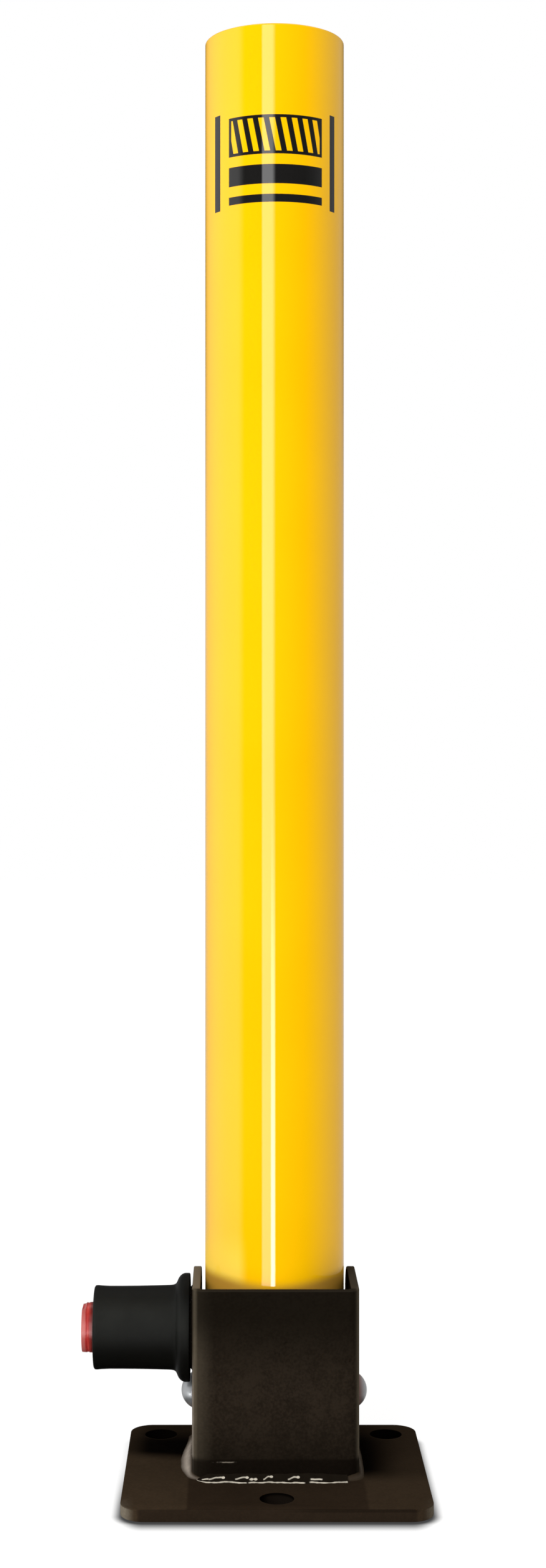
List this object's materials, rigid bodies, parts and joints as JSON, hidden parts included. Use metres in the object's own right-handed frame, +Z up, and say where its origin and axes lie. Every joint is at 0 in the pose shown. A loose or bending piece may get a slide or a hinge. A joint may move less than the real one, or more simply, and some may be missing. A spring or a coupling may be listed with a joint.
{
  "type": "folding parking post",
  "caption": "Folding parking post: round yellow tube pivoting in a dark U bracket on a rounded base plate, bolted upright by a push lock in a black boot with a red cap.",
  "frame": {"origin": "on the ground face of the base plate, under the post's axis", "axes": "+Z up along the post, +Y towards the back where the post folds down, the lock is on -X"},
  "size_m": [0.1475, 0.112, 0.619],
  "materials": {
    "yellow_paint": "gloss powder coat",
    "dark_paint": "satin brown-black paint",
    "painted_weld": "thin dark paint over weld metal",
    "zinc_steel": "dull zinc",
    "bare_steel": "turned steel",
    "black_rubber": "matt moulded rubber",
    "lock_brass": "turned brass",
    "red_plastic": "moulded red plastic"
  },
  "bodies": {
    "base": {"base_plate": "dark_paint", "pivot_bracket": "dark_paint", "front_weld": "painted_weld", "left_weld": "painted_weld", "right_weld": "painted_weld", "pivot_rivet": "zinc_steel", "lock_housing": "bare_steel", "housing_weld": "painted_weld", "guide_pin": "bare_steel", "lock_boot": "black_rubber", "plunger_spring": "bare_steel"},
    "post": {"post_tube": "yellow_paint", "top_disc": "yellow_paint", "pivot_bush": "bare_steel"},
    "plunger": {"lock_barrel": "bare_steel", "locking_bolt": "bare_steel", "bolt_pin": "bare_steel"},
    "core": {"key_core": "lock_brass", "locking_cam": "bare_steel", "cam_screw": "bare_steel"},
    "cap": {"dust_cap": "red_plastic"}
  },
  "joints": [
    {"name": "post_fold", "type": "hinge", "parent": "base", "child": "post", "pos_m": [0, 0.009, 0.0304], "axis": [-1, 0, 0], "range_deg": [0, 90]},
    {"name": "lock_plunge", "type": "slide", "parent": "base", "child": "plunger", "axis": [1, 0, 0], "range_m": [0, 0.007], "stiffness_N_per_m": 400, "springref_m": -0.01, "deforming": ["plunger_spring"]},
    {"name": "key_turn", "type": "hinge", "parent": "plunger", "child": "core", "pos_m": [-0.07, 0, 0.0602], "axis": [1, 0, 0], "range_deg": [0, 90]},
    {"name": "cap_pull", "type": "slide", "parent": "plunger", "child": "cap", "axis": [-1, 0, 0], "range_m": [0, 0.012]}
  ]
}
